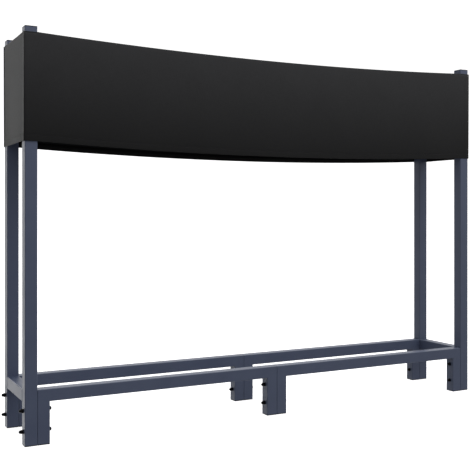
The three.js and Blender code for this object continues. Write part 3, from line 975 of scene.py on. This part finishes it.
def stitching(name, rows):
    """All the stitches of some rows as one piece. A stitch is a spindle: its radius is the square root of
    1 - t^2 along it, t from -1 to 1, and it bows outwards by half of that."""
    centre, ahead, outward = (np.concatenate(parts) for parts in zip(*rows))
    ahead /= np.linalg.norm(ahead, axis=1, keepdims=True)
    outward -= np.sum(outward * ahead, axis=1, keepdims=True) * ahead
    outward /= np.linalg.norm(outward, axis=1, keepdims=True)
    side = np.cross(ahead, outward)
    t = np.array([-0.97, -0.45, 0.45, 0.97])[:, None]
    angle = np.linspace(0, 2 * math.pi, 5, endpoint=False)[None, :]
    radius = STITCH_RADIUS * np.sqrt(1 - t ** 2)
    shape = np.stack(np.broadcast_arrays(t * STITCH_LENGTH / 2, radius * np.cos(angle) + radius / 2,
                                         radius * np.sin(angle)), axis=-1).reshape(-1, 3)
    basis = np.stack([ahead, outward, side], axis=1)
    points = centre[:, None] + np.einsum("vk,nkc->nvc", shape, basis)
    first = np.arange(len(centre))[:, None, None] * len(shape)
    quads = first + grid_quads(4, 5, close_columns=True)[None]
    fans = np.array([[0, 2, 1], [0, 3, 2], [0, 4, 3], [15, 16, 17], [15, 17, 18], [15, 18, 19]])
    piece = new_piece(name, points.reshape(-1, 3), quads, first + fans[None], smooth_angle=70)
    return finished(piece, THREAD, "cover", "cover_fabric")


def hem_stitching():
    """Twin rows all round the hem."""
    s = np.arange(0, AROUND, 3 * MM)
    plan, outward = around(s)
    heights = np.array([HEM_SEAM - TWIN_GAP / 2, HEM_SEAM + TWIN_GAP / 2])
    outwards = np.stack([outward.real, outward.imag, 0 * s], axis=-1)
    lines = skirt_surface(plan, outward, s, heights, 0 * heights)
    return stitching("hem_stitching", [stitch_row(line, outwards) for line in lines])


def seam_stitching():
    """A row down each felled seam of the end panels, and rows beside the openings on the top."""
    rows = []
    heights = np.linspace(2 * MM, SKIRT - FOLD_RADIUS - 2 * MM, 80)
    quarter = math.pi * FOLD_RADIUS / 2
    right_front = 2 * FLAT_X + quarter
    left_back = 4 * FLAT_X + 2 * FLAT_Y + 3 * quarter
    for start in (right_front, left_back):
        for s in (start + SEAM_WIDTH - BESIDE_EDGE, start + 2 * FLAT_Y - SEAM_WIDTH + BESIDE_EDGE):
            plan, outward = around(np.array([s]))
            line = skirt_surface(plan, outward, np.array([s]), heights, 0 * heights)[:, 0]
            rows.append(stitch_row(line, np.tile([outward.real[0], outward.imag[0], 0], (len(heights), 1))))
    samples = 30
    up = np.tile([0.0, 0.0, 1.0], (samples, 1))
    near_x, near_y = NOTCH_X - BESIDE_OPENING, NOTCH_Y - BESIDE_OPENING
    for x in (-1, 1):
        for y in (-1, 1):
            out_x = x * np.linspace(near_x, FLAT_X, samples)
            out_y = y * np.linspace(near_y, FLAT_Y, samples)
            rows.append(stitch_row(top_surface(out_x, np.full(samples, y * near_y)), up))
            rows.append(stitch_row(top_surface(np.full(samples, x * near_x), out_y), up))
    return stitching("seam_stitching", rows)


def drape_mesh():
    """The even grid of the simulation, about 26 mm a square, with sharp folds: the skirt's points, the number
    of each point of the top, and the whole mesh. The squares at the posts are left open."""
    nx, ny, rows = DRAPE.columns_x, DRAPE.columns_y, DRAPE.rows
    line_x = np.linspace(-HALF_LENGTH, HALF_LENGTH, nx + 1)
    line_y = np.linspace(-HALF_DEPTH, HALF_DEPTH, ny + 1)
    plan = np.concatenate([line_x[:-1] - 1j * HALF_DEPTH, HALF_LENGTH + 1j * line_y[:-1],
                           -line_x[:-1] + 1j * HALF_DEPTH, -HALF_LENGTH - 1j * line_y[:-1]])
    share = np.linspace(0, 1, rows + 1)[:, None]
    hem, fold = hem_height(plan.real), COVER_TOP - sag(plan.real)
    skirt = np.stack(np.broadcast_arrays(plan.real, plan.imag, hem + (fold - hem) * share), axis=-1)
    grid_x, grid_y = np.meshgrid(line_x, line_y, indexing="ij")
    top = np.stack([grid_x, grid_y, COVER_TOP - sag(grid_x)], axis=-1)

    number = np.full((nx + 1, ny + 1), -1)
    last = rows * DRAPE.around
    number[:-1, 0] = last + np.arange(nx)
    number[-1, :-1] = last + nx + np.arange(ny)
    number[1:, -1] = last + (nx + ny + np.arange(nx))[::-1]
    number[0, 1:] = last + (2 * nx + ny + np.arange(ny))[::-1]
    cell_x, cell_y = np.meshgrid(np.arange(nx), np.arange(ny), indexing="ij")
    open_x = (cell_x < POST_CELLS) | (cell_x >= nx - POST_CELLS)
    open_y = (cell_y < POST_CELLS) | (cell_y >= ny - POST_CELLS)
    cells = grid_quads(nx + 1, ny + 1)[~(open_x & open_y).ravel()][:, ::-1]
    used = np.zeros(number.size, bool)
    used[np.unique(cells)] = True
    free = used.reshape(number.shape) & (number < 0)
    number[free] = skirt[..., 0].size + np.arange(free.sum())
    points = np.concatenate([skirt.reshape(-1, 3), top[free]])
    quads = np.concatenate([grid_quads(rows + 1, DRAPE.around, close_columns=True), number.ravel()[cells]])
    return skirt, number, points, quads


def mark_held_and_fuller(piece, skirt, points):
    """Vertex groups of the cloth: held along the top folds and over the crossbars, and fuller from the folds
    down to the hem and all over the top."""
    rows = skirt.shape[0] - 1
    in_skirt = skirt[..., 0].size
    on_fold = np.arange(len(points)) >= rows * DRAPE.around
    on_fold[in_skirt:] = False
    held = on_fold | ((np.abs(points[:, 0]) > POST_LOW.x) & (points[:, 2] > COVER_TOP - 1 * MM))
    share = np.linspace(0, 1, rows + 1)[:, None]
    fuller = np.concatenate([np.broadcast_to(1 - share, skirt.shape[:2]).ravel(),
                             np.ones(len(points) - in_skirt)])
    for group_name, weights in (("held", held.astype(float)), ("fuller", fuller)):
        group = piece.vertex_groups.new(name=group_name)
        for weight in np.unique(weights.round(3)):
            group.add(np.flatnonzero(weights.round(3) == weight).tolist(), float(weight), "REPLACE")


def hung(piece):
    """Points of the piece after it has hung as coated cloth for DRAPE_FRAMES frames."""
    cloth = piece.modifiers.new("cloth", "CLOTH")
    cloth.settings.quality = 7
    cloth.settings.mass = 0.25
    cloth.settings.tension_stiffness = 40
    cloth.settings.compression_stiffness = 40
    cloth.settings.shear_stiffness = 6
    cloth.settings.bending_stiffness = 1.5
    cloth.settings.air_damping = 3
    cloth.settings.vertex_group_mass = "held"
    cloth.settings.vertex_group_shrink = "fuller"
    cloth.settings.shrink_min = 0.0
    cloth.settings.shrink_max = -FULLNESS
    cloth.collision_settings.distance_min = 1.2 * MM
    cloth.point_cache.frame_start = 1
    cloth.point_cache.frame_end = DRAPE_FRAMES
    for frame_number in range(1, DRAPE_FRAMES + 1):
        bpy.context.scene.frame_set(frame_number)
    graph = bpy.context.evaluated_depsgraph_get()
    settled = np.empty(len(piece.data.vertices) * 3, np.float32)
    piece.evaluated_get(graph).data.vertices.foreach_get("co", settled)
    return settled.reshape(-1, 3)


def simulate_drape():
    """Cloth simulation of the cover. The top folds and what lies on the crossbars is held, the skirt and the
    top hang free and are cut a little fuller than they need to be, and the posts and crossbars stop them. The
    result is kept in DRAPE as a difference, limited to DRAPE_LIMIT."""
    skirt, number, points, quads = drape_mesh()
    piece = new_piece("drape", points, quads)
    mark_held_and_fuller(piece, skirt, points)
    stops = [solid_block(name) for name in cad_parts
             if name.endswith("_post") or "_upper_crossbar" in name]
    moved = hung(piece) - points
    size = np.linalg.norm(moved, axis=1, keepdims=True) + 1e-9
    moved *= DRAPE_LIMIT * np.tanh(size / DRAPE_LIMIT) / size
    DRAPE.skirt = moved[:skirt[..., 0].size].reshape(skirt.shape)
    DRAPE.top = np.where((number >= 0)[..., None], moved[number], 0)
    for helper in (piece, *stops):
        bpy.data.objects.remove(helper)
    bpy.context.scene.frame_set(1)


def solid_block(node_name):
    """A box in place of a tube that the cloth can't pass."""
    corners = box(node_name)
    ring = [(0, 0), (1, 0), (1, 1), (0, 1)]
    points = [[(corners[i, 0], corners[j, 1], corners[k, 2]) for i, j in ring] for k in (0, 1)]
    block = closed_shell("block_" + node_name, np.array(points))
    block.modifiers.new("collision", "COLLISION")
    block.collision.thickness_outer = 1 * MM
    return block


# ---- Studio ----
EYE = (-1.734, -3.139, 0.841)
EYE_TURN = -27.38  # degrees about +Z from looking along +Y, so it looks to the right
EYE_LENS = 63.87  # millimetres of focal length, on a sensor 36 mm wide
EYE_SHIFT = -0.0522  # how far the frame is moved up, as a share of its width

# Brightness of the white studio by bearing, in degrees from behind the rack (+Y) towards the right (+X).
BEARINGS = [(-180, 0.62), (-90, 0.42), (-42, 0.2), (-27, 0.22), (-14, 1.9), (-8, 2.8), (3, 2.8), (10, 1.05),
            (46, 1.05), (75, 0.8), (115, 1.1), (140, 1.05), (165, 0.62), (180, 0.62)]
LOW_FRONT = 0.3  # how bright the camera's side is below the horizon, as a share of above it
TO_BEHIND = (-0.1, 0.35)  # over which Y of the direction the camera's side turns into the side behind
TO_RAISED = (-0.15, 0.45)  # over which Z of the direction the camera's side gets brighter

# The sweep, in metres.
SWEEP_HUB = 0.5
SWEEP_FLAT = 20  # radius of the flat floor
SWEEP_BEND = 8  # radius of the bend into the wall
SWEEP_WALL = 40  # height of the wall's top
SWEEP_GLOW = 0.75  # the white that it shows to the camera whatever light falls on it


def camera():
    data = bpy.data.cameras.new("camera")
    data.sensor_width = 36
    data.lens = EYE_LENS
    data.shift_y = EYE_SHIFT
    data.dof.use_dof = False
    eye = bpy.data.objects.new("camera", data)
    eye.location = EYE
    eye.rotation_euler = (math.radians(90), 0, math.radians(EYE_TURN))
    bpy.context.scene.collection.objects.link(eye)
    bpy.context.scene.camera = eye


def area_light(name, place, aim, size, power):
    """A soft rectangular light at a place, facing the point aim."""
    data = bpy.data.lights.new(name, "AREA")
    data.shape = "RECTANGLE"
    data.size, data.size_y = size
    data.energy = power
    lamp = bpy.data.objects.new(name, data)
    lamp.location = place
    towards = np.array(aim, float) - np.array(place, float)
    flat = math.hypot(towards[0], towards[1])
    bearing = math.atan2(towards[1], towards[0]) - math.pi / 2
    lamp.rotation_euler = (math.atan2(flat, -towards[2]), 0, bearing)
    bpy.context.scene.collection.objects.link(lamp)


def studio_light():
    """The light of the white studio: bright behind the rack and dimmer on the camera's side."""
    world = bpy.data.worlds.new("studio")
    bpy.context.scene.world = world
    world.use_nodes = True
    tree = world.node_tree
    tree.nodes.clear()
    direction = node(tree, "SeparateXYZ", {0: node(tree, "TexCoord").outputs["Generated"]}).outputs
    bearing = node(tree, "Math", {0: direction["X"], 1: direction["Y"]}, operation="ARCTAN2").outputs[0]
    ramp = node(tree, "ValToRGB", {"Fac": spread(tree, bearing, 0, 1, -math.pi, math.pi)})
    elements = ramp.color_ramp.elements
    while len(elements) < len(BEARINGS):
        elements.new(0.5)
    for element, (degrees, brightness) in zip(elements, BEARINGS):
        element.position = (degrees + 180) / 360
        element.color = (brightness,) * 3 + (1,)
    behind = spread(tree, direction["Y"], 0, 1, *TO_BEHIND)
    raised = spread(tree, direction["Z"], LOW_FRONT, 1.0, *TO_RAISED)
    height = node(tree, "Mix", {"Factor": behind, 2: raised, 3: 1.0}).outputs[0]
    shade = node(tree, "Math", {0: ramp.outputs["Color"], 1: height}, operation="MULTIPLY").outputs[0]
    background = node(tree, "Background", {"Color": (1, 1, 1, 1), "Strength": shade})
    node(tree, "OutputWorld", {"Surface": background.outputs[0]})


def sweep():
    """A flat floor whose rim turns up in a quarter circle into an upright wall all round. Only the camera
    sees it: the light on the rack comes from studio_light."""
    turn = np.linspace(0, math.pi / 2, 13)
    flat = np.linspace(SWEEP_HUB, SWEEP_FLAT, 12)[:-1]
    wall = SWEEP_FLAT + SWEEP_BEND
    radius = np.concatenate([flat, SWEEP_FLAT + SWEEP_BEND * np.sin(turn), [wall]])
    height = np.concatenate([0 * flat, SWEEP_BEND * (1 - np.cos(turn)), [SWEEP_WALL]])
    angle = np.linspace(0, 2 * math.pi, 96, endpoint=False)
    rings = np.stack(np.broadcast_arrays(radius[:, None] * np.cos(angle), radius[:, None] * np.sin(angle),
                                         height[:, None]), axis=-1)
    centre = len(rings) * len(angle)
    column = np.arange(len(angle))
    hub = np.stack([np.full(len(angle), centre), column, (column + 1) % len(angle)], axis=-1)
    quads = grid_quads(*rings.shape[:2], close_columns=True)[:, ::-1]
    floor = new_piece("floor", np.concatenate([rings.reshape(-1, 3), [[0, 0, 0]]]), quads, hub)
    material, tree = new_material("white_paper_sweep")
    tint = blend(tree, speckle(tree, 0.4), linear("#f6f6f6"), linear("#fbfbfb"))
    surface(tree, Base_Color=tint, Roughness=0.9, Emission_Color=(1, 1, 1, 1), Emission_Strength=SWEEP_GLOW)
    floor.data.materials.append(material)
    floor.visible_diffuse = False
    floor.visible_glossy = False
    floor.visible_shadow = False


def studio():
    studio_light()
    sweep()
    area_light("top front", (0.5, -1.6, 2.9), (0, 0, 1.3), (3.5, 0.8), 18)
    bpy.context.scene.view_settings.view_transform = "Standard"


# ---- Assembly ----
camera()
studio()
side_frames()
base_frames()
crossbar_welds()
mitre_welds()
for foot in [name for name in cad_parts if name.endswith("_foot")]:
    foot_plug(foot)
for cap_row in ROWS:
    for cap_end in ENDS:
        post_cap(cap_row, cap_end)
fasteners()
simulate_drape()
cover = cover_piece()
trims = [corner_piping(), hem_stitching(), seam_stitching()]
